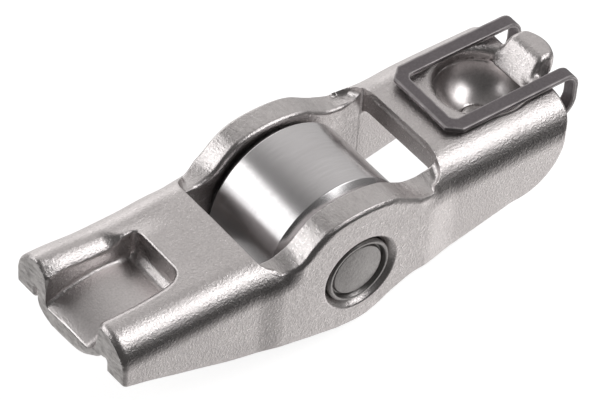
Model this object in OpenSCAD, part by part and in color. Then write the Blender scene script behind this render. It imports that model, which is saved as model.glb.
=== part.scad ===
// Roller finger follower, drawn with its web up and the roller belly down.
// Origin: middle of the axle, on the mid-plane. +X runs from the valve pad to the pivot
// socket, +Y across, +Z towards the web. Millimetres.

/* [Sheet] */
// Thickness of the folded sheet
sheet_t = 2.9; // [2.2:0.1:3.4]
// Half width over the side walls, at both ends
half_w = 8.85; // [7:0.05:11]
// Half width over the side walls, beside the roller
half_w_mid = 9.15; // [7:0.05:11.5]
// Outside radius of the fold at the valve end
fold_r_valve = 3.5; // [3:0.1:5]
// Outside radius of the fold at the pivot end
fold_r_pivot = 4.2; // [3:0.1:5]
// Height of the web's top at the valve end
web_z_valve = 5.65; // [4:0.05:8]
// Height of the web's top at the pivot end
web_z_pivot = 7.75; // [6:0.05:10]
// Where the sheet ends at the valve end
end_valve = -28.9; // [-36:0.1:-22]
// Where the web ends at the pivot end
end_pivot = 27.55; // [22:0.1:34]

/* [Window and ears] */
// Valve-side edge of the window
window_valve = -11.2; // [-14:0.05:-9.5]
// Pivot-side edge of the window
window_pivot = 11.55; // [9.5:0.05:14]
// Radius of the arched ears over the axle
ear_r = 8.8; // [7:0.05:10]
// Rounding of the ears' outer edge
ear_edge_r = 0.8; // [0.2:0.1:1.5]
// Radius of the belly under the axle
belly_r = 6.85; // [5:0.05:9]

/* [Valve pocket] */
// Half width of the pocket at its floor
pocket_half = 4.1; // [2.5:0.1:5]
// Pivot-side wall of the pocket
pocket_end = -18; // [-21:0.1:-15]
// Radius of the crowned floor
crown_r = 13; // [9:0.5:25]
// Top of the crowned floor
crown_z = 2.4; // [1:0.1:4]
// Position of the crown's top along the arm
crown_x = -22.3; // [-25:0.1:-20]

/* [Pivot socket] */
// Position of the socket along the arm
socket_x = 21.95; // [18:0.05:24]
// Radius of the spherical seat
socket_r = 5; // [3.5:0.05:6.5]
// Height of the sphere's middle
socket_z = 7.7; // [7:0.05:10]
// Radius of the oil hole in the seat
oil_r = 1.5; // [0.5:0.05:2]

/* [Axle, needles and roller] */
// Radius of the axle
axle_r = 3.85; // [3:0.05:5]
// Half length of the axle
axle_half = 8.95; // [7:0.05:11]
// Radius of one needle
needle_r = 0.8; // [0.5:0.05:1.2]
// Half length of one needle
needle_half = 5.6; // [3:0.1:6]
// Number of needles
needle_count = 18; // [12:1:24]
// Running clearance of the needles, on the radius
needle_gap = 0.03; // [0.01:0.01:0.1]
// Outside radius of the roller
roller_r = 8.5; // [7:0.05:10]
// Half length of the roller
roller_half = 5.72; // [4:0.05:6]
// Chamfer on the roller's ends
roller_chamfer = 0.92; // [0.2:0.05:1.5]

/* [Retaining clip] */
// Thickness of the clip's sheet
clip_t = 0.5; // [0.3:0.05:0.8]
// Top of the clip at its crossbar
clip_z = 8.75; // [8.3:0.05:9.5]
// Fall of the legs towards the hooks, in degrees
clip_tilt = 1.45; // [0:0.05:3]
// Outside half width over the legs
clip_half = 5.4; // [4.5:0.1:6]
// Inside half width between the legs
clip_inner = 3.8; // [3:0.1:4.5]

/* [View] */
// Sub-part to draw

/* [Hidden] */
$fn = 96;
inner_w = half_w - sheet_t;
inner_mid = half_w_mid - sheet_t - 0.2;
pitch_r = axle_r + needle_gap + needle_r;
bore_r = pitch_r + needle_r + needle_gap;
axle_fit = 0.02;
sink_r = 4.45;
big = 100;

// lays a Y-Z drawing along X, from x0 to x1
module along_x(x0, x1) {
  translate([x0, 0, 0]) rotate([90, 0, 90]) linear_extrude(x1 - x0) children();
}

// lays an X-Z drawing across the arm, from y0 to y1
module across_y(y0, y1) {
  translate([0, y1, 0]) rotate([90, 0, 0]) linear_extrude(y1 - y0) children();
}

// section of the folded channel, filled, open below
module channel(w, top, r) {
  union() {
    translate([-w, -12]) square([2 * w, top - r + 12]);
    translate([-(w - r), -12]) square([2 * (w - r), top + 12]);
    translate([w - r, top - r]) circle(r);
    translate([-(w - r), top - r]) circle(r);
  }
}

// ring sector between two angles, 180 degrees at most
module arc_band(r, t, a0, a1) {
  intersection() {
    difference() {
      circle(r);
      circle(r - t);
    }
    polygon([[0, 0], [3 * r * cos(a0), 3 * r * sin(a0)],
             [3 * r * cos((a0 + a1) / 2), 3 * r * sin((a0 + a1) / 2)],
             [3 * r * cos(a1), 3 * r * sin(a1)]]);
  }
}

// outline of the arm seen from the side
module side_outline() {
  difference() {
    union() {
      circle(belly_r);
      intersection() {
        circle(ear_r);
        translate([-ear_r, 0]) square([2 * ear_r, ear_r]);
      }
      translate([20.9, 4.2]) circle(5.85);
      polygon([[end_valve, 0], [-24.5, -0.95], [-19.4, -2.45], [-12, -4.55], [-7.2, -5.6],
               [-3.3, -6.4], [-1.2, -6.6], [3.8, -5.6], [5.3, -4.85], [6.6, -4.3], [8, -3.95],
               [12, -3.25], [18.5, -1.85], [20.3, -1.62],
               [20.9, 4.2], [26.95, 4.2], [27.1, 5.2], [27.4, 6], [end_pivot, 6.8],
               [end_pivot, 9], [8.7, 9], [8.7, 5.6], [7, 5.6], [5, 4.4], [-7, 4.4],
               [-8.75, 4.4], [-8.75, 7], [end_valve, 7]]);
    }
    // eased corner under the valve end
    difference() {
      translate([end_valve - 1, -1]) square([2, 2]);
      translate([end_valve + 1, 1]) circle(1);
    }
  }
}

// the window's outline where it runs down over the folds, cut from above
module window_corners() {
  for (s = [0, 1]) mirror([0, s, 0]) {
    translate([0, 0, 5.6]) linear_extrude(6)
      polygon([[8, 0], [8, 8.33], [8.67, 8.33], [9.6, 8.24], [10.35, 8], [10.72, 7.6],
               [10.98, 7.02], [11.38, 6.14], [window_pivot, 5.2], [window_pivot, 0]]);
    translate([0, 0, 4.4]) linear_extrude(6)
      polygon([[-8.2, 0], [-8.2, 8.25], [-8.75, 8.23], [-9.5, 8.09], [-10.1, 7.86],
               [-10.41, 7.65], [-10.69, 7.18], [-11.03, 6.48], [window_valve, 5.3],
               [window_valve, 0]]);
  }
}

module end_rounding() {
  // rounded top edge where the rails meet the valve end
  difference() {
    translate([end_valve - 1, web_z_valve - 1.5]) square([2.5, 2.5]);
    translate([end_valve + 1.5, web_z_valve - 1.5]) circle(1.5);
  }
}

module shell() {
  difference() {
    intersection() {
      union() {
        along_x(end_valve, window_valve + 2.5) channel(half_w + 0.1, web_z_valve, fold_r_valve);
        along_x(8.65, end_pivot) channel(half_w, web_z_pivot, fold_r_pivot);
        // straight walls beside the roller, swelling out a little
        difference() {
          translate([0, 0, -12]) linear_extrude(24)
            polygon([[window_valve - 1.5, half_w], [window_valve + 1.6, half_w_mid],
                     [8.5, half_w_mid], [window_pivot + 1, half_w],
                     [window_pivot + 1, -half_w], [8.5, -half_w_mid],
                     [window_valve + 1.6, -half_w_mid], [window_valve - 1.5, -half_w]]);
          translate([window_valve - 3, -big, 2.2]) cube([5.45, 2 * big, 20]);
          translate([8.7, -big, 3.5]) cube([8, 2 * big, 20]);
        }
      }
      across_y(-12, 12) side_outline();
      // rounds the outer edge of the ears
      union() {
        translate([end_valve - 1, -12, -12]) cube([-7.6 - end_valve + 1, 24, 24]);
        translate([7.4, -12, -12]) cube([30, 24, 24]);
        translate([-8, -12, -12]) cube([16, 24, 15]);
        rotate([90, 0, 0]) rotate_extrude() union() {
          translate([0, -(half_w_mid - ear_edge_r)])
            square([ear_r, 2 * (half_w_mid - ear_edge_r)]);
          translate([0, -half_w_mid]) square([ear_r - ear_edge_r, 2 * half_w_mid]);
          translate([ear_r - ear_edge_r, half_w_mid - ear_edge_r]) circle(ear_edge_r, $fn = 48);
          translate([ear_r - ear_edge_r, -(half_w_mid - ear_edge_r)]) circle(ear_edge_r, $fn = 48);
        }
      }
    }
    // hollow under the web, both ends
    along_x(end_valve - 1, window_valve + 0.01)
      channel(inner_w, web_z_valve - sheet_t, fold_r_valve - sheet_t);
    along_x(window_pivot - 0.01, end_pivot + 1)
      channel(inner_w, web_z_pivot - sheet_t, fold_r_pivot - sheet_t);
    // roller space, and the window above it
    translate([window_valve, -inner_mid, -12]) cube([window_pivot - window_valve, 2 * inner_mid, 30]);
    across_y(-half_w - 1, half_w + 1) end_rounding();
    window_corners();
  }
}

// the pallet: sheet pressed down between the rails, with its crowned floor
module pallet() {
  difference() {
    intersection() {
      along_x(end_valve, pocket_end + 2) union() {
        translate([-5.45, 0.5]) square([10.9, web_z_valve - 0.52]);
        translate([-3.65, -1.3]) square([7.3, 3]);
        translate([3.65, 0.5]) circle(1.8);
        translate([-3.65, 0.5]) circle(1.8);
      }
      union() {
        // floor band
        difference() {
          translate([crown_x, 0, crown_z - crown_r]) rotate([90, 0, 0])
            cylinder(h = 10.9, r = crown_r, center = true);
          translate([crown_x, 0, crown_z - crown_r - 4.8]) rotate([90, 0, 0])
            cylinder(h = 20, r = crown_r + 2.5, center = true);
        }
        // rail sides and the pocket's end wall
        translate([end_valve, pocket_half, -0.6]) cube([pocket_end + 2 - end_valve, 1.35, web_z_valve + 1]);
        translate([end_valve, -5.45, -0.6]) cube([pocket_end + 2 - end_valve, 1.35, web_z_valve + 1]);
        translate([pocket_end, -5.45, 0.2]) cube([2, 10.9, web_z_valve]);
      }
    }
    across_y(-half_w - 1, half_w + 1) end_rounding();
  }
}

// fills the fold's inside corner down to the slit beside the pallet
module rail_fill() {
  difference() {
    union() {
      translate([end_valve, pocket_half, 1.7]) cube([pocket_end + 2 - end_valve, inner_w - pocket_half + 0.3, 1.8]);
      translate([end_valve, -inner_w - 0.3, 1.7]) cube([pocket_end + 2 - end_valve, inner_w - pocket_half + 0.3, 1.8]);
    }
    across_y(-half_w - 1, half_w + 1) end_rounding();
  }
}

// dome under the pivot socket
module socket_dome() {
  intersection() {
    translate([socket_x, 0, socket_z]) sphere(r = 7.1);
    translate([socket_x - 8, -inner_w - 0.3, 0]) cube([13.5, 2 * inner_w + 0.6, web_z_pivot - 1]);
  }
}

// raised nose beyond the web
module nose() {
  intersection() {
    across_y(-3, 3) union() {
      polygon([[25.4, 4.95], [26.4, 4.95], [28.1, 6.35], [29.1, 6.6], [29.9, 6.7],
               [29.9, 8.4], [28.9, 9.4], [28.5, 9.45], [27.75, 9.2], [26.6, 7.7], [25.4, 7.7]]);
      translate([28.9, 8.4]) circle(1, $fn = 64);
    }
    along_x(24, 31) polygon([[-2.9, 4], [2.9, 4], [2.75, 7.8], [2.35, 9], [1.95, 9.6],
                             [-1.95, 9.6], [-2.35, 9], [-2.75, 7.8]]);
  }
}

module body() {
  color([0.74, 0.72, 0.71])
  difference() {
    union() {
      difference() {
        shell();
        // pocket, cut through the web at the valve end
        translate([end_valve - 1, -pocket_half - 0.2, -2])
          cube([pocket_end + 1 - end_valve, 2 * pocket_half + 0.4, 12]);
      }
      pallet();
      rail_fill();
      socket_dome();
      nose();
    }
    // bore for the axle, with its two countersinks
    rotate([90, 0, 0]) cylinder(h = 40, r = axle_r + axle_fit, center = true);
    for (s = [0, 180]) rotate([0, 0, s]) translate([0, half_w_mid - 0.75, 0])
      rotate([-90, 0, 0]) cylinder(h = 0.9, r1 = axle_r + axle_fit, r2 = sink_r + 0.1);
    // spherical seat with a small lead-in, and the oil hole
    translate([socket_x, 0, socket_z]) sphere(r = socket_r);
    translate([socket_x, 0, web_z_pivot - 1.35]) cylinder(h = 1.4, r1 = socket_r - 0.17, r2 = socket_r + 0.84);
    translate([socket_x, 0, -3]) cylinder(h = 12, r = oil_r, $fn = 48);
  }
}

module axle() {
  color([0.66, 0.65, 0.65])
  difference() {
    rotate([90, 0, 0]) rotate_extrude()
      polygon([[0, -axle_half], [axle_r - 0.05, -axle_half], [axle_r + 0.08, -axle_half + 0.12],
               [axle_r, -axle_half + 0.5], [axle_r, axle_half - 0.5],
               [axle_r + 0.08, axle_half - 0.12], [axle_r - 0.05, axle_half], [0, axle_half]]);
    // staking groove in each end
    for (s = [0, 180]) rotate([0, 0, s]) translate([0, axle_half - 0.7, 0])
      rotate([-90, 0, 0]) rotate_extrude()
        polygon([[3.05, 0], [3.2, 0], [3.5, 0.8], [2.7, 0.8]]);
    // the middle of each end sits a little lower than the rim
    for (s = [0, 180]) rotate([0, 0, s]) translate([0, axle_half - 0.2, 0])
      rotate([-90, 0, 0]) cylinder(h = 1, r = 3);
  }
}

module roller() {
  color([0.78, 0.77, 0.76])
  rotate([90, 0, 0]) rotate_extrude()
    polygon([[bore_r, -roller_half + 0.3], [bore_r + 0.3, -roller_half],
             [roller_r - roller_chamfer, -roller_half],
             [roller_r, -roller_half + roller_chamfer],
             [roller_r, roller_half - roller_chamfer],
             [roller_r - roller_chamfer, roller_half], [bore_r + 0.3, roller_half],
             [bore_r, roller_half - 0.3]]);
}

// flat part of the clip, before it tips towards the hooks
module clip_plate() {
  translate([0, 0, -clip_t]) linear_extrude(clip_t) difference() {
    polygon([[15.4, -clip_half], [29.05, -clip_half], [29.05, clip_half], [15.4, clip_half],
             [13.95, 4.2], [13.95, -4.2]]);
    union() {
      translate([16.2, -clip_inner]) square([20, 2 * clip_inner]);
      translate([15.35, -clip_inner + 0.85]) square([2, 2 * clip_inner - 1.7]);
      translate([16.2, clip_inner - 0.85]) circle(0.85, $fn = 32);
      translate([16.2, -clip_inner + 0.85]) circle(0.85, $fn = 32);
    }
  }
}

module clip_hook() {
  translate([29, 0, -1.85]) across_y(clip_inner, clip_half) arc_band(1.85, clip_t, 0, 90);
  translate([30.85 - clip_t, clip_inner, -3.45]) cube([clip_t, clip_half - clip_inner, 1.62]);
  translate([28.35, 0, -3.43]) across_y(clip_inner, clip_half) union() {
    arc_band(2.5, clip_t, -128, 0);
    rotate(-128) translate([2.5 - clip_t / 2, 0]) circle(clip_t / 2, $fn = 32);
  }
}

module retaining_clip() {
  color([0.3, 0.29, 0.31])
  translate([14, 0, clip_z]) rotate([0, clip_tilt, 0]) translate([-14, 0, 0]) union() {
    clip_plate();
    clip_hook();
    mirror([0, 1, 0]) clip_hook();
  }
}

module needle(k) {
  color([0.7, 0.69, 0.69])
  rotate([0, (k + 0.5) * 360 / needle_count, 0]) translate([pitch_r, 0, 0]) rotate([90, 0, 0])
    rotate_extrude($fn = 32)
      polygon([[0, -needle_half], [needle_r - 0.25, -needle_half],
               [needle_r, -needle_half + 0.25], [needle_r, needle_half - 0.25],
               [needle_r - 0.25, needle_half], [0, needle_half]]);
}

module needle_01() { needle(0); }
module needle_02() { needle(1); }
module needle_03() { needle(2); }
module needle_04() { needle(3); }
module needle_05() { needle(4); }
module needle_06() { needle(5); }
module needle_07() { needle(6); }
module needle_08() { needle(7); }
module needle_09() { needle(8); }
module needle_10() { needle(9); }
module needle_11() { needle(10); }
module needle_12() { needle(11); }
module needle_13() { needle(12); }
module needle_14() { needle(13); }
module needle_15() { needle(14); }
module needle_16() { needle(15); }
module needle_17() { needle(16); }
module needle_18() { needle(17); }

body();
axle();
roller();
retaining_clip();
needle_01();
needle_02();
needle_03();
needle_04();
needle_05();
needle_06();
needle_07();
needle_08();
needle_09();
needle_10();
needle_11();
needle_12();
needle_13();
needle_14();
needle_15();
needle_16();
needle_17();
needle_18();
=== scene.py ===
import math

import bpy
import numpy as np
from mathutils import Matrix, Vector


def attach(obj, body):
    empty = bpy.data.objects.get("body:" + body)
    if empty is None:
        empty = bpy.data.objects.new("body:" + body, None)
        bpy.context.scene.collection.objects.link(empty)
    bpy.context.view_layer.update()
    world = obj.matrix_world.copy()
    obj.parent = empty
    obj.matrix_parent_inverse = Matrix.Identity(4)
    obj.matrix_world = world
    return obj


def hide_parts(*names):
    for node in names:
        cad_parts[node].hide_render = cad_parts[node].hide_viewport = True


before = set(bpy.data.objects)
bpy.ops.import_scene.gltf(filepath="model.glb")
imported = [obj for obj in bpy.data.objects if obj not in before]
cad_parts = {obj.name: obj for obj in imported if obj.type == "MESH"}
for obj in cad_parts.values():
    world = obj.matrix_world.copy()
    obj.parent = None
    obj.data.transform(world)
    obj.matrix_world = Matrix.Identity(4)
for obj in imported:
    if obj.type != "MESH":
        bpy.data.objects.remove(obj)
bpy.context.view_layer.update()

MM = 0.001
rng = np.random.default_rng(7)


# ---------------------------------------------------------------- field helpers (millimetres)
def lerp(a, b, t):
    return a + (b - a) * t


def step(x, a, b):
    t = np.clip((x - a) / (b - a), 0.0, 1.0)
    return t * t * (3 - 2 * t)


def rmax(a, b, r):
    """both, with a round of radius r along the shared edge"""
    return np.minimum(-r, np.maximum(a, b)) + np.hypot(np.maximum(a + r, 0), np.maximum(b + r, 0))


def rmin(a, b, r):
    """either, with a fillet of radius r"""
    return -rmax(-a, -b, r)


def die(a, b, r, d):
    """a rolled edge: the round starts smoothly on a and ends in a crease on b"""
    return rmax(rmax(a, b - d, r), b, 0.05)


class Curve:
    """smooth curve through points, with its slope"""

    def __init__(self, pts):
        p = np.array(pts, float)
        self.x, self.y = p[:, 0], p[:, 1]
        h = np.diff(self.x)
        s = np.diff(self.y) / h
        m = np.empty(len(p))
        m[0], m[-1] = s[0], s[-1]
        w1, w2 = 2 * h[1:] + h[:-1], h[1:] + 2 * h[:-1]
        with np.errstate(divide="ignore", invalid="ignore"):
            mono = (w1 + w2) / (w1 / s[:-1] + w2 / s[1:])
        m[1:-1] = np.where(s[:-1] * s[1:] > 0, mono, 0.0)
        self.m, self.h = m, h

    def __call__(self, x):
        i = np.clip(np.searchsorted(self.x, x) - 1, 0, len(self.h) - 1)
        h = self.h[i]
        t = (np.clip(x, self.x[0], self.x[-1]) - self.x[i]) / h
        y0, y1, m0, m1 = self.y[i], self.y[i + 1], self.m[i] * h, self.m[i + 1] * h
        y = ((2 * t - 3) * t * t + 1) * y0 + ((t - 2) * t + 1) * t * m0 + (3 - 2 * t) * t * t * y1 + (t - 1) * t * t * m1
        d = ((6 * t - 6) * t) * y0 + ((3 * t - 4) * t + 1) * m0 + (6 - 6 * t) * t * y1 + (3 * t - 2) * t * m1
        return y, d / h


def channel(ay, z, w, top, r):
    qy, qz = ay - (w - r), z - (top - r)
    return np.hypot(np.maximum(qy, 0), np.maximum(qz, 0)) + np.minimum(np.maximum(qy, qz), 0) - r


# ---------------------------------------------------------------- the arm's shape
T_L, R_L, T_R, R_R = 5.65, 3.5, 7.75, 4.2
BELLY = Curve([(-31, 0.95), (-28.9, 0.42), (-27, -0.1), (-25.4, -0.55), (-22.4, -1.55), (-19.4, -2.5), (-15.7, -3.7),
               (-12, -4.62), (-9.5, -5.1), (-7.2, -5.6), (-5.2, -6.1), (-3.4, -6.5), (-2, -6.74), (0, -6.84),
               (1.2, -6.7), (2.2, -6.35), (3.2, -5.85), (4.2, -5.3), (5.45, -4.75), (6.7, -4.28), (8, -3.98), (10, -3.62),
               (12, -3.25), (15.9, -2.42), (18.5, -1.85), (20.0, -1.67), (20.95, -1.65), (24, -1.65)])
PALLET_BOTTOM = Curve([(-6.2, 2.6), (-5.45, 1.9), (-5.0, 1.3), (-4.68, 0.92), (-3.5, 0.1), (-2.6, -0.5), (-1.9, -0.85),
                       (-0.98, -1.12), (0.4, -1.24), (1.6, -1.3), (3.0, -1.32), (3.7, -1.12), (4.4, -0.78),
                       (5.08, -0.3), (5.45, 0.1), (6.2, 0.9)])


def half_width(x):
    return 8.87 + 0.28 * step(x, -12.7, -9.3) - 0.30 * step(x, 8.3, 12.4)


def body_fields(x, y, z):
    ay = np.abs(y)
    w = half_width(x)
    w_in = w - 2.9 - 0.2 * step(x, -12.7, -9.3) + 0.2 * step(x, 8.3, 12.4)
    sl, sr = step(x, -9.5, -7.2), step(x, 7.2, 9.8)
    left = x < 0
    top, r = np.where(left, T_L, T_R), np.where(left, R_L, R_R)
    # the sheet's wavering top, felt rather than seen
    top_w = top + 0.03 * np.sin(x * 0.5 + 0.6) * np.cos(y * 0.4)
    top_w = top_w - 0.32 * step(-x, 13.5, 18.5) * step(y, 2.0, 5.0) * (1 - 0.95 * step(-x, 22.0, 27.0))
    top_w = top_w + 0.26 * step(x, 12.5, 17.0) * step(y, 1.5, 6.0)
    s_mid = np.where(left, sl, 1 - sr)
    outer = lerp(channel(ay, z, w, top_w, r), ay - w, s_mid)
    # under the web a channel, in the window open to the top
    shaft = rmax(ay - w_in, np.where(left, -(x + 11.1), x - 11.45), 0.3)
    inner = rmin(channel(ay, z, w_in, top - 2.9, r - 2.9), shaft, 0.08)

    # the window's edge in plan, and the shelf it leaves on top of the walls beside it
    win_l = rmax(-(x + 11.2), ay - (8.25 + 4 * step(x, -9.9, -8.7)), 2.5)
    slant = 0.943 * (x - 11.62) + 0.334 * (ay - 5.2)
    win_r = rmax(rmax(x - 11.62, slant, 0.6), ay - (8.32 + 4 * (1 - step(x, 8.4, 9.6))), 1.2)
    window = np.where(left, win_l, win_r)
    inward = np.clip(8.3 - ay, 0, 3.2)
    shelf_l = 4.38 + 0.10 * inward * step(-x, 6.8, 8.6)
    shelf_r = 5.6 + (0.18 + 0.05 * np.clip(x - 8.5, 0, 3)) * inward * step(x, 6.4, 8.6)
    arch = rmax(np.hypot(x, z) - 8.86, z - 8.68, 1.2)
    ear = rmin(arch, np.where(left, z - shelf_l, z - shelf_r), np.where(left, 1.6, 2.0))
    cut = rmin(-window, ear, 0.9)
    # the pallet, its rails and the web up to the pocket aren't cut by the window
    cut = np.where(x < -14, -3.0, np.where(x > 16, -3.0, cut))

    # outline from the side
    zb, zs = BELLY(x)
    zb = zb - 0.20 * step(x, 7.0, 9.0) * (1 - step(x, 18.3, 20.6)) - 0.10 * step(-x, 4.0, 7.0)
    low = (zb - z) / np.sqrt(1 + zs * zs)
    dx, dz = x - 20.75, z - 4.25
    ring = np.hypot(dx, dz) - 5.9
    end = dx - 5.9 - 0.92 * step(z, 4.0, 6.9) + 0.16 * np.clip((ay - 4.6) / 4.2, 0, 1) ** 2 * step(z, 5.2, 7.4)
    side = np.where(dx <= 0, low, np.where(dz < 0, ring, end))
    # valve end, a little out of square
    x_end = -28.64 - 0.022 * y + 0.035 * np.sin(y * 1.3 + 1.0) * step(z, -1, 2)
    face = x_end - x
    return ay, w, outer, inner, cut, side, face


def body_sdf(x, y, z):
    ay, w, outer, inner, cut, side, face = body_fields(x, y, z)

    # the outer skin, its rolled edges at the ears
    nearness = step(np.abs(x), 6.6, 9.6)
    edge_r = lerp(0.95, 0.16, nearness)
    skin = die(outer, cut, edge_r, 0.22 * edge_r)

    # walls and web; the far ear's inner edge is worn rounder
    r_in = 0.12 + 0.38 * step(y, 0, 2) * (1 - step(np.abs(x), 9.0, 10.5))
    d = rmax(rmax(skin, side, 0.32), -inner, r_in)

    # pallet with its rails at the valve end, and the dome under the socket
    rail_zone = x + 15.9
    zb, zbs = PALLET_BOTTOM(y)
    crown = np.sqrt(np.maximum(15.5**2 - (x + 22.3) ** 2, 1)) - np.sqrt(15.5**2 - 6.6**2)
    pal_low = (zb + np.minimum(crown, 2.0) - z) / np.sqrt(1 + zbs * zbs)
    pallet = rmax(rmax(ay - 5.43, pal_low, 0.45), rail_zone, 0.7)
    fill = rmax(1.7 - z, rail_zone, 0.5)
    dome = np.sqrt((x - 21.95) ** 2 + y * y + (z - 7.7) ** 2) - 7.1
    dome = np.maximum(np.maximum(dome, z - 7.0), ay - 6.3)
    inside = np.minimum(rmin(pallet, fill, 0.2), dome)
    d = np.maximum(rmin(d, rmax(skin, inside, 0.05), 0.15), skin)

    # pocket of the valve pad
    floor = 13.0 - np.hypot(x + 22.3, z + 10.6)
    far = step(y, 0.8, 2.8)
    wall_y = (ay - lerp(4.02 + 0.05 * (z - 1.0) - 0.48 * step(x, -25.0, -17.5), 3.97 - 0.04 * (z - 2.4), far)) * 0.99
    wall_x = x + 17.9 + 0.05 * (z - 2.0) + 0.12 * np.clip((z - 3.4) / 1.0, 0, 1)
    plan = rmax(wall_y, wall_x, lerp(1.5, 0.7, far))
    near_fill = step(-y, 0.5, 2.5)
    pocket = rmax(plan, floor, 0.45 + 1.15 * near_fill * step(-x, 19.5, 23.0) + 0.25 * step(x, -21.4, -19.8))
    # a coined band between the pad and the pocket's end wall
    bevel = 0.67 * (x + 18.42) - 0.743 * (z - 2.36)
    pocket = rmax(pocket, bevel, 0.3)
    lip = 0.30 + (0.35 * step(y, 0.8, 3.2) + 0.60 * step(-y, 0.8, 3.2)) * step(-x, 18.1, 20.8) * step(z, 2.1, 3.0)
    d = rmax(d, -pocket, lip)
    # the far rail's top rolls down towards the pocket
    rail_top = T_L - 0.32 * (1 - 0.95 * step(-x, 22.0, 27.0))
    roll = np.hypot(np.maximum(6.2 - y, 0), np.maximum(z - rail_top + 3.0, 0)) - 3.0 - 1.05 * (1 - step(-x, 18.4, 21.6))
    roll = np.where((z > rail_top - 2.8) & (y > 1.0) & (x < -18.38), roll, -5.0)
    d = rmax(d, roll, 0.15)
    r_end = lerp(0.10, lerp(0.60, 0.90, step(-y, -3, 3)), step(z, 2.0, 4.4))
    r_end = np.where(ay > 5.6, np.maximum(r_end, 0.5), r_end)
    d = np.maximum(rmax(d, face - 0.16 * r_end, r_end), face)
    # lead-in facets on the rails' inner edges
    fy = -0.598 * y + 0.802 * z - 1.12 - 0.21 * (x + 28.7)
    fn = -0.68 * (x + 28.7) + 0.44 * (y + 4.86) + 0.588 * (z - 5.02)
    facet = np.minimum(np.where(y > 0, fy, fn), ay - 3.4)
    d = rmax(d, facet, 0.16)

    # the web rolls down into the coined seat
    rho = np.hypot(x - 21.95, y)
    mouth = np.maximum(rho - 4.76, 6.22 - z)
    d = rmax(d, -mouth, 0.1 + 0.85 * step(z, 6.3, 6.7))

    # nose
    nl = -0.794 * (x - 26.62) + 0.608 * (z - 7.7)
    n1 = 0.636 * (x - 26.4) - 0.772 * (z - 4.95)
    n2 = 0.19 * (x - 28.1) - 0.98 * (z - 6.35)
    nose = rmax(rmax(nl, z - 9.4, 0.5), rmax(x - 30.62 + 0.15 * np.minimum(ay, 3.5) ** 2, np.maximum(n1, n2), 0.4), 0.85)
    nose = rmax(nose, (ay - 2.88 + 0.27 * np.maximum(z - 7.4, 0)) * 0.97, 0.55)
    nose = np.maximum(nose, 25.6 - x)
    d = rmin(d, nose, 0.3)

    # spherical seat, meeting the roll in a crisp ring, and the oil hole
    seat = np.sqrt(rho * rho + (z - 7.7) ** 2) - 5.0
    hole = rmin(np.maximum(seat, z - 6.4), rho - 1.5, 0.12)
    d = rmax(d, -hole, 0.06)

    # bore with its countersinks
    rad = np.hypot(x, z)
    sink = (rad - 3.87 - 0.78 * (ay - (w - 0.75))) * 0.79
    d = rmax(d, -np.minimum(rad - 3.87, sink), 0.10)
    return d


def clip_sdf(x, y, z):
    a = math.radians(-0.3)
    px, pz = x - 13.92, z - 8.75 - 0.042 * y
    u = px * math.cos(a) - pz * math.sin(a) + 14.0
    v = px * math.sin(a) + pz * math.cos(a)
    ay = np.abs(y)
    slab = np.abs(v + 0.25) - 0.25
    corner = -0.6376 * (u - 13.95) + 0.7704 * (ay - 4.2)
    plan = rmax(rmax(rmax(ay - 5.4, 13.95 - u, 0.05), corner, 0.08), u - 29.0, 0.02)
    hole = rmax(ay - 3.8, 15.35 - u, 0.85)
    flat = rmax(rmax(plan, -hole, 0.05), slab, 0.09)

    def arc(cx, cz, r, lo, hi):
        dx, dz = u - cx, v - cz
        th = np.arctan2(dz, dx)
        on = np.abs(np.hypot(dx, dz) - r)
        e0 = np.hypot(dx - r * math.cos(lo), dz - r * math.sin(lo))
        e1 = np.hypot(dx - r * math.cos(hi), dz - r * math.sin(hi))
        return np.where((th >= lo) & (th <= hi), on, np.minimum(e0, e1))

    line = np.hypot(u - 30.59, v - np.clip(v, -3.45, -1.85))
    line0 = np.hypot(u - np.clip(u, 28.6, 29.0), v + 0.25)
    hook = np.minimum(np.minimum(arc(29.0, -1.85, 1.6, 0.0, math.pi / 2), line), line0)
    hook = np.minimum(hook, arc(28.35, -3.43, 2.25, math.radians(-128), 0.0)) - 0.25
    hook = rmax(hook, np.abs(ay - 4.6) - 0.8, 0.09)
    return np.minimum(flat, hook)


# ---------------------------------------------------------------- surface from a field
def chunked(field, p, n=400000):
    return np.concatenate([field(p[i:i + n, 0], p[i:i + n, 1], p[i:i + n, 2]) for i in range(0, len(p), n)])


def gradient(field, p, e=0.012):
    k = np.array([(1, -1, -1), (-1, -1, 1), (-1, 1, -1), (1, 1, 1)], float)
    g = sum(v * chunked(field, p + e * v)[:, None] for v in k)
    return g / np.maximum(np.linalg.norm(g, axis=1, keepdims=True), 1e-12)


def onto(field, p, times=2, reach=0.2):
    for _ in range(times):
        g = gradient(field, p)
        d = chunked(field, p)
        p = p - g * np.clip(d, -reach, reach)[:, None]
    return p


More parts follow.
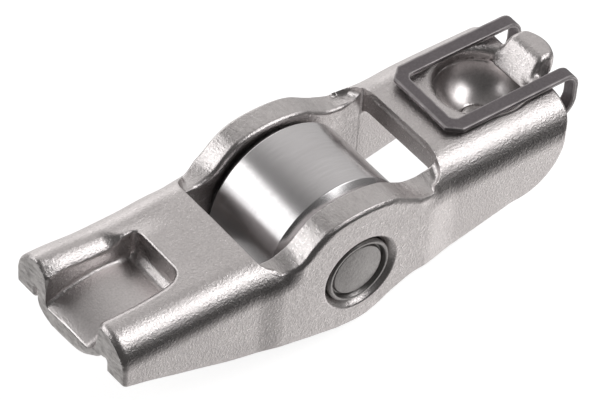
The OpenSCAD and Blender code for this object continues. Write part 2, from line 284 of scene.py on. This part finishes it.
def surface(field, xs, ys, zs):
    """closed quad mesh of field = 0, its corners drawn to the field's own edges"""
    nx, ny, nz = len(xs), len(ys), len(zs)
    grid = np.stack(np.meshgrid(xs, ys, zs, indexing="ij"), -1).reshape(-1, 3)
    f = chunked(field, grid).reshape(nx, ny, nz)
    ins = f < 0
    cnt = sum(ins[i:nx - 1 + i, j:ny - 1 + j, k:nz - 1 + k].astype(np.int8) for i in (0, 1) for j in (0, 1) for k in (0, 1))
    cell = (cnt > 0) & (cnt < 8)
    ids = np.full(cell.shape, -1, np.int64)
    ids[cell] = np.arange(cell.sum())
    n = int(cell.sum())
    ax = [xs, ys, zs]
    mat, vec, mean, num = np.zeros((n, 6)), np.zeros((n, 3)), np.zeros((n, 3)), np.zeros(n)
    quads = []
    for a in range(3):
        b, c = (a + 1) % 3, (a + 2) % 3
        lo = [slice(None)] * 3
        hi = [slice(None)] * 3
        lo[a], hi[a] = slice(0, -1), slice(1, None)
        cross = ins[tuple(lo)] != ins[tuple(hi)]
        at = np.argwhere(cross)
        fa = f[tuple(lo)][cross]
        fb = f[tuple(hi)][cross]
        t = fa / (fa - fb)
        p = np.stack([ax[d][at[:, d]] for d in range(3)], 1)
        p[:, a] = ax[a][at[:, a]] * (1 - t) + ax[a][at[:, a] + 1] * t
        g = gradient(field, p)
        dist = chunked(field, p)
        p = p - g * np.clip(dist, -0.1, 0.1)[:, None]
        around = []
        for ob, oc in ((-1, -1), (0, -1), (0, 0), (-1, 0)):
            q = at.copy()
            q[:, b] += ob
            q[:, c] += oc
            around.append(ids[q[:, 0], q[:, 1], q[:, 2]])
        around = np.stack(around, 1)
        flip = fa > fb
        quads.append(np.where(flip[:, None], around[:, ::-1], around))
        gp = np.sum(g * p, 1)
        for m in range(4):
            i = around[:, m]
            terms = [g[:, 0] ** 2, g[:, 0] * g[:, 1], g[:, 0] * g[:, 2], g[:, 1] ** 2, g[:, 1] * g[:, 2], g[:, 2] ** 2]
            for e, v in enumerate(terms):
                mat[:, e] += np.bincount(i, v, n)
            for d in range(3):
                vec[:, d] += np.bincount(i, g[:, d] * gp, n)
                mean[:, d] += np.bincount(i, p[:, d], n)
            num += np.bincount(i, minlength=n)
    mean /= num[:, None]
    A = np.empty((n, 3, 3))
    for e, (i, j) in enumerate(((0, 0), (0, 1), (0, 2), (1, 1), (1, 2), (2, 2))):
        A[:, i, j] = A[:, j, i] = mat[:, e] / num
    rhs = vec / num[:, None] - np.einsum("nij,nj->ni", A, mean)
    A += 0.02 * np.eye(3)
    v = mean + np.linalg.solve(A, rhs[:, :, None])[:, :, 0]
    where = np.argwhere(cell)
    for d in range(3):
        lo_, hi_ = ax[d][where[:, d]], ax[d][where[:, d] + 1]
        pad = 0.15 * (hi_ - lo_)
        v[:, d] = np.clip(v[:, d], lo_ - pad, hi_ + pad)
    v = onto(field, v, 2)
    return v, np.concatenate(quads)


def corner_normals(field, v, quads, pull=0.28):
    mid = v[quads].mean(1)
    q = (v[quads] * (1 - pull) + mid[:, None, :] * pull).reshape(-1, 3)
    return gradient(field, onto(field, q, 1), 0.01)


def mesh_object(name, v, faces, normals=None):
    me = bpy.data.meshes.new(name)
    faces = np.asarray(faces)
    nf, k = faces.shape
    me.vertices.add(len(v))
    me.vertices.foreach_set("co", (np.asarray(v) * MM).astype(np.float32).ravel())
    me.loops.add(nf * k)
    me.loops.foreach_set("vertex_index", faces.astype(np.int32).ravel())
    me.polygons.add(nf)
    me.polygons.foreach_set("loop_start", np.arange(0, nf * k, k, dtype=np.int32))
    me.polygons.foreach_set("loop_total", np.full(nf, k, np.int32))
    me.update(calc_edges=True)
    me.validate()
    me.shade_smooth()
    if normals is not None and len(normals) == len(me.loops):
        me.normals_split_custom_set(normals.tolist())
    ob = bpy.data.objects.new(name, me)
    bpy.context.scene.collection.objects.link(ob)
    return ob


def axis_lines(lo, hi, h, fine=()):
    """grid lines from lo to hi, h apart, and closer inside the fine spans (a, b, h)"""
    out, x = [lo], lo
    while x < hi:
        d = h
        for a, b, hf in fine:
            if a - d <= x <= b:
                d = min(d, hf)
        x += d
        out.append(x)
    return np.array(out)


# ---------------------------------------------------------------- turned pieces
def lathe(name, profile, turns, rounds=None):
    """profile of (radius, y) points round the Y axis, outside on the left going up in y; soft corners from rounds"""
    pts = []
    n = len(profile)
    for i, (r, y) in enumerate(profile):
        k = 0 if rounds is None else rounds[i]
        if k <= 0:
            pts.append((r, y))
            continue
        p, a, b = np.array((r, y)), np.array(profile[i - 1]), np.array(profile[(i + 1) % n])
        da, db = (a - p) / np.linalg.norm(a - p), (b - p) / np.linalg.norm(b - p)
        half = math.acos(max(-1, min(1, float(da @ db)))) / 2
        cut = k / math.tan(half)
        cen = p + (da + db) / np.linalg.norm(da + db) * k / math.sin(half)
        s, e = p + da * cut - cen, p + db * cut - cen
        a0, a1 = math.atan2(s[1], s[0]), math.atan2(e[1], e[0])
        d = (a1 - a0 + math.pi) % (2 * math.pi) - math.pi
        for t in np.linspace(0, 1, 7):
            pts.append((cen[0] + k * math.cos(a0 + d * t), cen[1] + k * math.sin(a0 + d * t)))
    pts = np.array(pts)
    m = len(pts)
    th = np.linspace(0, 2 * np.pi, turns, endpoint=False)
    v = np.stack([pts[:, 0][:, None] * np.cos(th), np.repeat(pts[:, 1][:, None], turns, 1), pts[:, 0][:, None] * np.sin(th)], -1)
    closed = not (abs(pts[0, 0]) < 1e-9)
    idx = np.arange(m * turns).reshape(m, turns)
    nxt = np.roll(idx, -1, 1)
    faces = []
    for i in range(m if closed else m - 1):
        j = (i + 1) % m
        faces.append(np.stack([idx[i], idx[j], nxt[j], nxt[i]], 1))
    return pts, v.reshape(-1, 3), np.concatenate(faces)


def lathe_object(name, profile, turns, rounds):
    pts, v, faces = lathe(name, profile, turns, rounds)
    me = bpy.data.meshes.new(name)
    if abs(pts[0, 0]) < 1e-9:
        # discs at both ends closed with a fan round one point
        m = len(pts)
        keep = v[turns:-turns]
        v2 = np.concatenate([[[0, pts[0, 1], 0]], keep, [[0, pts[-1, 1], 0]]])
        last = len(v2) - 1
        polys = []
        for t in range(turns):
            u = (t + 1) % turns
            polys.append((0, 1 + t, 1 + u))
        for i in range(m - 3):
            for t in range(turns):
                u = (t + 1) % turns
                a, b = 1 + i * turns, 1 + (i + 1) * turns
                polys.append((a + t, b + t, b + u, a + u))
        base = 1 + (m - 3) * turns
        for t in range(turns):
            u = (t + 1) % turns
            polys.append((base + t, last, base + u))
        me.from_pydata((v2 * MM).tolist(), [], polys)
    else:
        me.from_pydata((v * MM).tolist(), [], faces.tolist())
    me.update()
    me.validate()
    ob = bpy.data.objects.new(name, me)
    bpy.context.scene.collection.objects.link(ob)
    me.shade_smooth()
    import bmesh

    bm = bmesh.new()
    bm.from_mesh(me)
    bmesh.ops.recalc_face_normals(bm, faces=bm.faces)
    for e in bm.edges:
        e.smooth = len(e.link_faces) < 2 or e.calc_face_angle(0) < math.radians(24)
    bm.to_mesh(me)
    bm.free()
    return ob


# ---------------------------------------------------------------- materials
def node(nt, kind, **values):
    n = nt.nodes.new(kind)
    for k, v in values.items():
        if k.startswith("i_"):
            n.inputs[k[2:]].default_value = v
        else:
            setattr(n, k, v)
    return n


def steel(name, color, dark, rough, rough_span, grain=0.25, grain_scale=5200.0, blotch_scale=220.0, stretch=(1, 1, 1),
          aniso=0.0, bump_m=4e-6, cut=False, painted_edge_highlight=False):
    mat = bpy.data.materials.new(name)
    mat.use_nodes = True
    nt = mat.node_tree
    nt.nodes.clear()
    out = node(nt, "ShaderNodeOutputMaterial")
    sh = node(nt, "ShaderNodeBsdfPrincipled")
    sh.inputs["Metallic"].default_value = 1.0
    sh.inputs["Anisotropic"].default_value = aniso
    nt.links.new(sh.outputs[0], out.inputs[0])
    co = node(nt, "ShaderNodeTexCoord")
    mp = node(nt, "ShaderNodeMapping")
    mp.inputs["Scale"].default_value = stretch
    nt.links.new(co.outputs["Object"], mp.inputs["Vector"])
    n1 = node(nt, "ShaderNodeTexNoise", i_Scale=blotch_scale, i_Detail=4.0, i_Roughness=0.6)
    n2 = node(nt, "ShaderNodeTexNoise", i_Scale=grain_scale, i_Detail=3.0, i_Roughness=0.65)
    for n in (n1, n2):
        nt.links.new(mp.outputs[0], n.inputs["Vector"])
    mixf = node(nt, "ShaderNodeMix", data_type="FLOAT")
    mixf.inputs[0].default_value = grain
    nt.links.new(n1.outputs["Fac"], mixf.inputs[2])
    nt.links.new(n2.outputs["Fac"], mixf.inputs[3])
    ramp = node(nt, "ShaderNodeValToRGB")
    ramp.color_ramp.elements[0].position = 0.30
    ramp.color_ramp.elements[1].position = 0.72
    ramp.color_ramp.elements[0].color = (*dark, 1)
    ramp.color_ramp.elements[1].color = (*color, 1)
    nt.links.new(mixf.outputs[0], ramp.inputs[0])
    rr = node(nt, "ShaderNodeMapRange")
    rr.inputs["From Min"].default_value = 0.3
    rr.inputs["From Max"].default_value = 0.7
    rr.inputs["To Min"].default_value = rough + rough_span
    rr.inputs["To Max"].default_value = rough
    nt.links.new(mixf.outputs[0], rr.inputs["Value"])
    n3 = node(nt, "ShaderNodeTexNoise", i_Scale=grain_scale * 0.4, i_Detail=2.0, i_Roughness=0.5)
    nt.links.new(mp.outputs[0], n3.inputs["Vector"])
    both = node(nt, "ShaderNodeMix", data_type="FLOAT")
    both.inputs[0].default_value = 0.28
    nt.links.new(n2.outputs["Fac"], both.inputs[2])
    nt.links.new(n3.outputs["Fac"], both.inputs[3])
    bump = node(nt, "ShaderNodeBump")
    bump.inputs["Strength"].default_value = 1.0
    bump.inputs["Distance"].default_value = bump_m
    height, colour, rough_out = both.outputs[0], ramp.outputs[0], rr.outputs[0]
    if cut:
        # sheared faces: streaks across the sheet's thickness, rough, a little brighter
        at = node(nt, "ShaderNodeAttribute", attribute_name="sheared")
        ms = node(nt, "ShaderNodeMapping")
        ms.inputs["Scale"].default_value = (1.0, 0.30, 0.6)
        nt.links.new(co.outputs["Object"], ms.inputs["Vector"])
        streak = node(nt, "ShaderNodeTexNoise", i_Scale=2600.0, i_Detail=3.0, i_Roughness=0.7)
        nt.links.new(ms.outputs[0], streak.inputs["Vector"])
        deep = node(nt, "ShaderNodeMath", operation="MULTIPLY")
        deep.inputs[1].default_value = 2.4
        nt.links.new(streak.outputs["Fac"], deep.inputs[0])
        pick = node(nt, "ShaderNodeMix", data_type="FLOAT")
        nt.links.new(at.outputs["Fac"], pick.inputs[0])
        nt.links.new(height, pick.inputs[2])
        nt.links.new(deep.outputs[0], pick.inputs[3])
        height = pick.outputs[0]
        tint = node(nt, "ShaderNodeValToRGB")
        tint.color_ramp.elements[0].position = 0.34
        tint.color_ramp.elements[1].position = 0.64
        tint.color_ramp.elements[0].color = (0.34, 0.325, 0.32, 1)
        tint.color_ramp.elements[1].color = (0.62, 0.60, 0.59, 1)
        nt.links.new(streak.outputs["Fac"], tint.inputs[0])
        mc = node(nt, "ShaderNodeMix", data_type="RGBA")
        nt.links.new(at.outputs["Fac"], mc.inputs[0])
        nt.links.new(colour, mc.inputs[6])
        nt.links.new(tint.outputs[0], mc.inputs[7])
        colour = mc.outputs[2]
        # coined faces: the grain pressed flat
        co2 = node(nt, "ShaderNodeAttribute", attribute_name="coined")
        flat = node(nt, "ShaderNodeMix", data_type="FLOAT")
        flat.inputs[3].default_value = 0.5
        nt.links.new(co2.outputs["Fac"], flat.inputs[0])
        nt.links.new(height, flat.inputs[2])
        height = flat.outputs[0]
        shine = node(nt, "ShaderNodeMix", data_type="FLOAT")
        shine.inputs[3].default_value = 0.29
        nt.links.new(co2.outputs["Fac"], shine.inputs[0])
        nt.links.new(rough_out, shine.inputs[2])
        rough_out = shine.outputs[0]
    if painted_edge_highlight:
        # painted edge highlight: the sharp edges get a lighter steel colour, standing in for the bright lines they
        # catch
        wa = node(nt, "ShaderNodeAttribute", attribute_name="painted_edge_highlight")
        wc = node(nt, "ShaderNodeMix", data_type="RGBA")
        wc.inputs[7].default_value = (0.72, 0.69, 0.69, 1)
        nt.links.new(wa.outputs["Fac"], wc.inputs[0])
        nt.links.new(colour, wc.inputs[6])
        colour = wc.outputs[2]
    nt.links.new(height, bump.inputs["Height"])
    nt.links.new(colour, sh.inputs["Base Color"])
    nt.links.new(rough_out, sh.inputs["Roughness"])
    nt.links.new(bump.outputs[0], sh.inputs["Normal"])
    return mat


body_mat = steel("body_satin", (0.69, 0.655, 0.65), (0.50, 0.472, 0.468), 0.245, 0.12, grain=0.75, grain_scale=4200.0,
                 blotch_scale=260.0, bump_m=0.68e-4, cut=True)
roller_mat = steel("roller_ground", (0.66, 0.645, 0.65), (0.56, 0.545, 0.55), 0.21, 0.07, grain=0.4, grain_scale=3000,
                   stretch=(0.12, 1, 0.12), bump_m=2e-6)
axle_mat = steel("axle_staked", (0.37, 0.355, 0.35), (0.26, 0.25, 0.246), 0.27, 0.10, grain=0.6, grain_scale=3600.0, bump_m=4.0e-5)
clip_mat = steel("clip_oxide", (0.215, 0.196, 0.204), (0.145, 0.132, 0.139), 0.36, 0.12, grain=0.6, grain_scale=3600.0, bump_m=3.0e-5,
                 painted_edge_highlight=True)
needle_mat = steel("needle_ground", (0.62, 0.61, 0.61), (0.55, 0.54, 0.54), 0.18, 0.06, stretch=(1, 0.1, 1))


def finish_piece(ob, body, nodes, mat):
    ob.data.materials.clear()
    ob.data.materials.append(mat)
    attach(ob, body)
    for n in nodes:
        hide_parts(n)
    return ob


# ---------------------------------------------------------------- pieces
h = 0.235
xs = axis_lines(-29.4, 31.1, h)
ys = axis_lines(-9.55, 9.6, h, ((-9.3, -8.2, h * 0.8), (-6.2, -5.2, h * 0.75), (5.2, 6.2, h * 0.75), (8.2, 9.3, h * 0.8)))
zs = axis_lines(-7.3, 9.9, h)
v, q = surface(body_sdf, xs, ys, zs)
arm = mesh_object("arm_body", v, q, corner_normals(body_sdf, v, q))
# where the sheet was sheared: the window and the arches, and the valve end
bf = body_fields(v[:, 0], v[:, 1], v[:, 2])
g = gradient(body_sdf, v)
cut_face = (1 - step(np.abs(bf[4]), 0.05, 0.16)) * step(-np.abs(g[:, 1]), -0.75, -0.5)
end_face = (1 - step(np.abs(bf[6]), 0.03, 0.10)) * step(-g[:, 0], 0.7, 0.9)
shear = np.maximum(0.30 * cut_face, end_face).astype(np.float32)
arm.data.attributes.new("sheared", "FLOAT", "POINT").data.foreach_set("value", shear)
# where it was coined or ground smooth: the seat and its ring, and the valve pad
rho = np.hypot(v[:, 0] - 21.95, v[:, 1])
ball = 1 - step(np.abs(np.sqrt(rho**2 + (v[:, 2] - 7.7) ** 2) - 5.0), 0.05, 0.2)
pad = (1 - step(np.abs(13.0 - np.hypot(v[:, 0] + 22.3, v[:, 2] + 10.6)), 0.03, 0.12)) * (1 - step(np.abs(v[:, 1]), 2.4, 3.9)) * step(-v[:, 0], 19.0, 21.0)
smooth = np.maximum(ball * (1 - step(v[:, 2], 6.3, 6.6)), 0.55 * pad).astype(np.float32)
arm.data.attributes.new("coined", "FLOAT", "POINT").data.foreach_set("value", smooth)
finish_piece(arm, "arm", ["body"], body_mat)
print("arm_body", len(v), "verts", 2 * len(q), "triangles")

hc = 0.125
v, q = surface(clip_sdf, axis_lines(13.6, 31.2, hc), axis_lines(-5.7, 5.75, hc), axis_lines(2.2, 9.1, hc))
clip = mesh_object("clip", v, q, corner_normals(clip_sdf, v, q))
# how much less of the steel lies behind a point tells its sharp edges
g = gradient(clip_sdf, v)
g = g / np.maximum(np.linalg.norm(g, axis=1, keepdims=True), 1e-6)
back = v - 0.2 * g
thin = clip_sdf(back[:, 0], back[:, 1], back[:, 2]) + 0.2
# painted highlight: a lighter colour laid along those sharp edges, standing in for the light they catch
painted_edge_highlight = (0.5 * step(thin, 0.008, 0.028) * (0.8 + 0.2 * np.sin(v[:, 0] * 2.1 + np.sin(v[:, 1] * 3.3)))).astype(np.float32)
clip.data.attributes.new("painted_edge_highlight", "FLOAT", "POINT").data.foreach_set("value", painted_edge_highlight)
finish_piece(clip, "arm", ["retaining_clip"], clip_mat)
print("clip", 2 * len(q), "triangles")

R, H, C, B = 8.5, 5.72, 0.92, 5.51
ring = lathe_object("roller_ring", [(R, -H + C), (R, H - C), (R - C, H), (B + 0.3, H), (B, H - 0.3), (B, -H + 0.3),
                                    (B + 0.3, -H), (R - C, -H)], 192, [0.2, 0.2, 0.1, 0.1, 0.1, 0.1, 0.1, 0.1])
finish_piece(ring, "roller", ["roller"], roller_mat)

A = 8.95
half = [(3.82, A - 0.6), (3.74, A - 0.1), (3.62, A), (3.36, A), (3.16, A - 0.62), (3.04, A - 0.62), (2.92, A - 0.26), (0, A - 0.2)]
prof = [(0, -A + 0.2)] + [(r, -y) for r, y in half[-2::-1]] + half
rnd = [0] + [0.08, 0.05, 0.05, 0.12, 0.10, 0.03, 0] + [0, 0.03, 0.10, 0.12, 0.05, 0.05, 0.08, 0]
pin = lathe_object("pin", prof, 128, rnd)
finish_piece(pin, "arm", ["axle"], axle_mat)

for n in sorted(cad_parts):
    if n.startswith("needle_"):
        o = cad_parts[n]
        o.data.materials.clear()
        o.data.materials.append(needle_mat)
for n, m in (("body", body_mat), ("axle", axle_mat), ("roller", roller_mat), ("retaining_clip", clip_mat)):
    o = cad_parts[n]
    o.data.materials.clear()
    o.data.materials.append(m)

# ---------------------------------------------------------------- floor, light and camera
fm = bpy.data.materials.new("floor_paper")
fm.use_nodes = True
fs = fm.node_tree.nodes["Principled BSDF"]
fs.inputs["Base Color"].default_value = (0.45, 0.45, 0.45, 1)
fs.inputs["Roughness"].default_value = 0.9
fs.inputs["Specular IOR Level"].default_value = 0.1
fs.inputs["Emission Color"].default_value = (1, 1, 1, 1)
fs.inputs["Emission Strength"].default_value = 0.84
bpy.ops.mesh.primitive_plane_add(size=6.0, location=(0, 0, -0.00855))
floor = bpy.context.object
floor.name = "floor"
floor.data.materials.append(fm)
floor.visible_glossy = False

# a soft studio: pale below, dim towards the horizon and overhead, darker on the camera's side
world = bpy.context.scene.world or bpy.data.worlds.new("studio")
bpy.context.scene.world = world
world.use_nodes = True
wt = world.node_tree
wt.nodes.clear()
w_out = node(wt, "ShaderNodeOutputWorld")
bg = node(wt, "ShaderNodeBackground")
wt.links.new(bg.outputs[0], w_out.inputs[0])
tc = node(wt, "ShaderNodeTexCoord")
sep = node(wt, "ShaderNodeSeparateXYZ")
wt.links.new(tc.outputs["Generated"], sep.inputs[0])
zr = node(wt, "ShaderNodeMapRange")
zr.inputs["From Min"].default_value = -1.0
zr.inputs["From Max"].default_value = 1.0
wt.links.new(sep.outputs["Z"], zr.inputs["Value"])
tower = node(wt, "ShaderNodeValToRGB")
stops = [(-1.0, 0.70), (-0.80, 0.50), (-0.62, 0.33), (-0.42, 0.24), (-0.25, 0.20), (0.0, 0.18), (0.3, 0.23), (0.6, 0.28),
         (0.85, 0.22), (1.0, 0.17)]
ramp = tower.color_ramp
while len(ramp.elements) < len(stops):
    ramp.elements.new(0.5)
for e, (zz, g) in zip(ramp.elements, stops):
    e.position = (zz + 1) / 2
for e, (zz, g) in zip(ramp.elements, stops):
    e.color = (g, g, g, 1)
wt.links.new(zr.outputs[0], tower.inputs[0])


def lobe(direction, inner, outer):
    """1 near that direction, falling to 0 between the two cosines"""
    dot = node(wt, "ShaderNodeVectorMath", operation="DOT_PRODUCT")
    dot.inputs[1].default_value = Vector(direction).normalized()
    wt.links.new(tc.outputs["Generated"], dot.inputs[0])
    mr = node(wt, "ShaderNodeMapRange", interpolation_type="SMOOTHSTEP")
    mr.inputs["From Min"].default_value = outer
    mr.inputs["From Max"].default_value = inner
    wt.links.new(dot.outputs["Value"], mr.inputs["Value"])
    return mr.outputs[0]


def math_node(op, a, b):
    n = node(wt, "ShaderNodeMath", operation=op)
    for k, v in enumerate((a, b)):
        if isinstance(v, (int, float)):
            n.inputs[k].default_value = v
        else:
            wt.links.new(v, n.inputs[k])
    return n.outputs[0]


side_light = math_node("MULTIPLY", lobe((0.62, 0.62, 0.48), 0.95, 0.45), 0.48)
far_low = math_node("MULTIPLY", lobe((0.35, 0.86, -0.36), 0.98, 0.80), 0.55)
near_low = math_node("MULTIPLY", lobe((0.74, -0.30, -0.60), 0.99, 0.84), 1.05)
dim = math_node("SUBTRACT", 1.0, math_node("MULTIPLY", lobe((-0.70, -0.66, 0.2), 0.75, 0.25), 0.62))
flag = math_node("SUBTRACT", 1.0, math_node("MULTIPLY", lobe((0.40, -0.91, -0.07), 0.985, 0.86), 0.85))
back_low = math_node("MULTIPLY", lobe((-0.10, 0.70, -0.70), 0.95, 0.70), 0.30)
total = math_node("ADD", math_node("ADD", tower.outputs[0], side_light), math_node("ADD", far_low, near_low))
total = math_node("ADD", total, back_low)
total = math_node("MULTIPLY", math_node("MULTIPLY", total, dim), flag)
wt.links.new(total, bg.inputs["Strength"])
bg.inputs["Color"].default_value = (1.0, 0.985, 0.975, 1)


def soft_box(name, az, el, dist, size_x, size_y, radiance, target=(0, 0, 0)):
    """area light towards the part from azimuth az (0 along +X, 90 along +Y) and elevation el, in degrees"""
    a, e = math.radians(az), math.radians(el)
    d = Vector((math.cos(a) * math.cos(e), math.sin(a) * math.cos(e), math.sin(e)))
    li = bpy.data.lights.new(name, "AREA")
    li.shape = "RECTANGLE"
    li.size, li.size_y = size_x, size_y
    # a flat panel's radiance is its power / (pi * area)
    li.energy = radiance * math.pi * size_x * size_y
    ob = bpy.data.objects.new(name, li)
    ob.location = Vector(target) + d * dist
    ob.rotation_euler = (-d).to_track_quat("-Z", "Y").to_euler()
    bpy.context.scene.collection.objects.link(ob)
    return ob


soft_box("key", -43, 51, 0.6, 0.46, 0.31, 2.75)
soft_box("back", 98, 25, 0.6, 0.84, 0.26, 1.1)
soft_box("corner", 145, 26, 0.6, 0.37, 0.35, 1.9)

f_px, az, el, roll, D, tx, tz = 3267.63, 0.699471, 0.773736, 0.0743067, 326.6536, -1.22248, 3.10404
fwd = np.array([math.sin(az) * math.cos(el), math.cos(az) * math.cos(el), -math.sin(el)])
right = np.array([math.cos(az), -math.sin(az), 0.0])
up = np.cross(right, fwd)
r2 = math.cos(roll) * right + math.sin(roll) * up
u2 = -math.sin(roll) * right + math.cos(roll) * up
eye = (np.array([tx, 0, tz]) - D * fwd + 0.14 * u2) * MM
cam = bpy.data.cameras.new("camera")
cam.sensor_width = 36.0
cam.lens = f_px * 36.0 / 594.0
cam.clip_start, cam.clip_end = 0.01, 10.0
cam_ob = bpy.data.objects.new("camera", cam)
m = Matrix(((r2[0], u2[0], -fwd[0], eye[0]), (r2[1], u2[1], -fwd[1], eye[1]), (r2[2], u2[2], -fwd[2], eye[2]), (0, 0, 0, 1)))
cam_ob.matrix_world = m
bpy.context.scene.collection.objects.link(cam_ob)
bpy.context.scene.camera = cam_ob

bpy.context.scene.view_settings.view_transform = "Standard"
bpy.context.scene.view_settings.look = "None"
bpy.context.scene.view_settings.exposure = 0.0
bpy.context.scene.view_settings.gamma = 1.0
